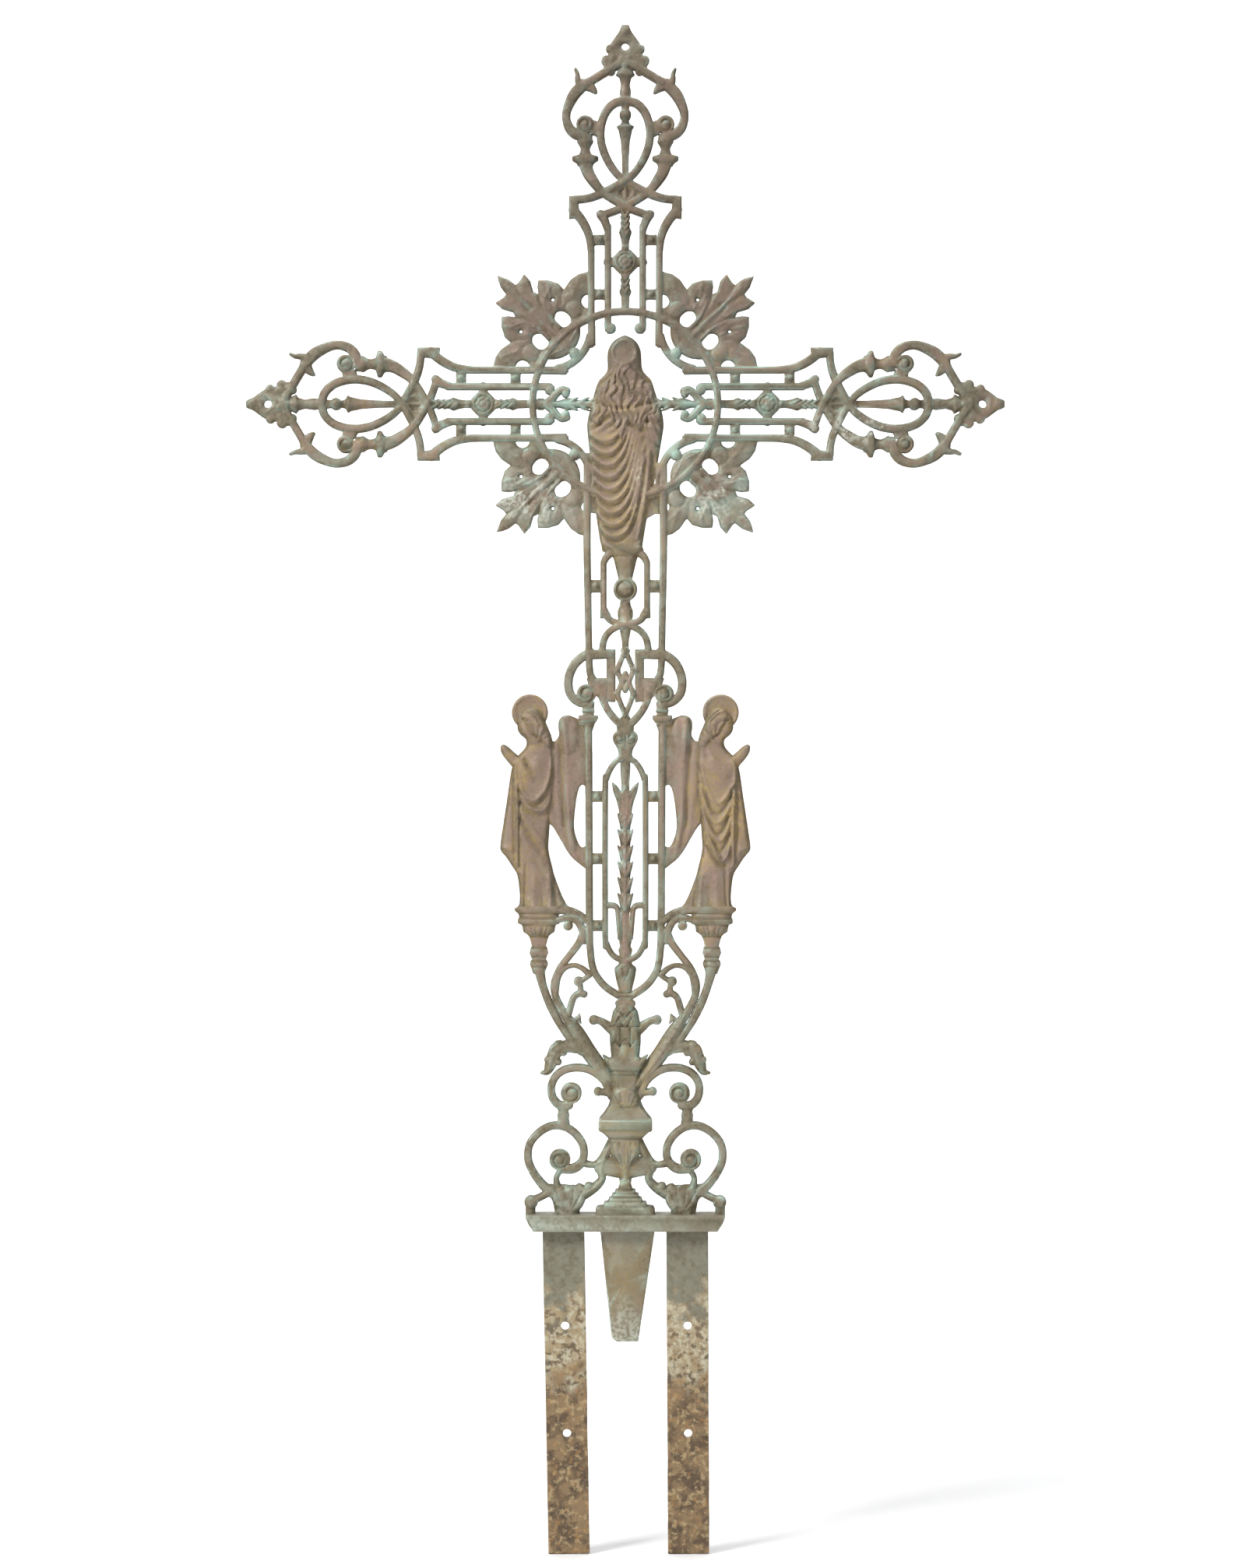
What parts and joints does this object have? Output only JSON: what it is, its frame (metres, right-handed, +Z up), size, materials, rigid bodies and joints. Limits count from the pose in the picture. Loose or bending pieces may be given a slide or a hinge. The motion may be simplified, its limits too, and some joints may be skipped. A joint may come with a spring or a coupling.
{
  "type": "grave cross",
  "caption": "Tall openwork iron grave cross with a robed figure at the crossing, leaf sprays, praying side figures, scrolled foot and flat ground straps.",
  "frame": {"origin": "on the cross's upright axis, at the underside of the base bar, in the middle of its depth", "axes": "+Z up along the shaft, +X to the viewer's right, -Y towards the viewer"},
  "size_m": [0.974, 0.044, 1.9644],
  "materials": {
    "cast_iron": "weathered paint and rust in mauve, ochre and olive, with pale verdigris",
    "wrought_iron": "old flat bar, grey-green paint at the top, cream and rust lower down"
  },
  "bodies": {
    "root": {"cast_cross": "cast_iron", "strap_left": "wrought_iron", "strap_right": "wrought_iron"}
  },
  "joints": []
}
